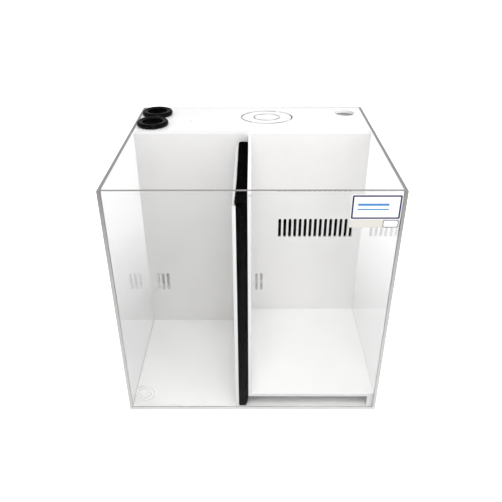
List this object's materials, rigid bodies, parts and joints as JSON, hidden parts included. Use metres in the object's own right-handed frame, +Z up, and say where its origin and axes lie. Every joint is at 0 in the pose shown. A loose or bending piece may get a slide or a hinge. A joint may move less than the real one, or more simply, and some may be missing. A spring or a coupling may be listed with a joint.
{
  "type": "aquarium filter sump",
  "caption": "Open clear acrylic filter tank with white inner walls, a foam slot, a raised-floor chamber, and a lift-off deck with rubber seals for drain pipes.",
  "frame": {"origin": "middle of the tank's footprint, on the underside of its base", "axes": "+X to the right as seen from the front, +Y to the back, where the covered chambers are, +Z up"},
  "size_m": [0.4, 0.3683, 0.4],
  "materials": {
    "white_sheet": "polished white acrylic",
    "deck_sheet": "polished white acrylic with a plain printed oval",
    "clear_sheet": "clear polished acrylic",
    "filter_foam": "open-cell black filter foam",
    "seal_rubber": "smooth moulded black rubber",
    "white_pipe": "white pipe",
    "label_print": "printed film, bare"
  },
  "bodies": {
    "tank": {"base_panel": "white_sheet", "weir_wall": "white_sheet", "left_divider": "white_sheet", "right_divider": "white_sheet", "raised_floor": "white_sheet", "right_floor_rail": "white_sheet", "floor_legs": "white_sheet", "rear_partition": "white_sheet", "media_shelf": "white_sheet", "shelf_front_rail": "white_sheet", "shelf_side_rail": "white_sheet", "shelf_back_rail": "white_sheet", "shelf_legs": "white_sheet", "right_deck_ledge": "white_sheet", "back_deck_ledge": "white_sheet", "weir_foam_ledge": "white_sheet", "left_foam_strip": "white_sheet", "right_foam_strip": "white_sheet", "left_side_panel": "clear_sheet", "right_side_panel": "clear_sheet", "front_panel": "clear_sheet", "back_panel": "clear_sheet", "weir_foam": "filter_foam", "label_plate": "label_print"},
    "foam": {"foam_block": "filter_foam"},
    "deck": {"deck_cover": "deck_sheet", "front_pipe_seal": "seal_rubber", "rear_pipe_seal": "seal_rubber", "front_drop_pipe": "white_pipe", "rear_drop_pipe": "white_pipe"}
  },
  "joints": [
    {"name": "foam_lift", "type": "slide", "parent": "tank", "child": "foam", "axis": [0, 0, 1], "range_m": [0, 0.38]},
    {"name": "deck_lift", "type": "slide", "parent": "tank", "child": "deck", "axis": [0, 0, 1], "range_m": [0, 0.33]}
  ]
}
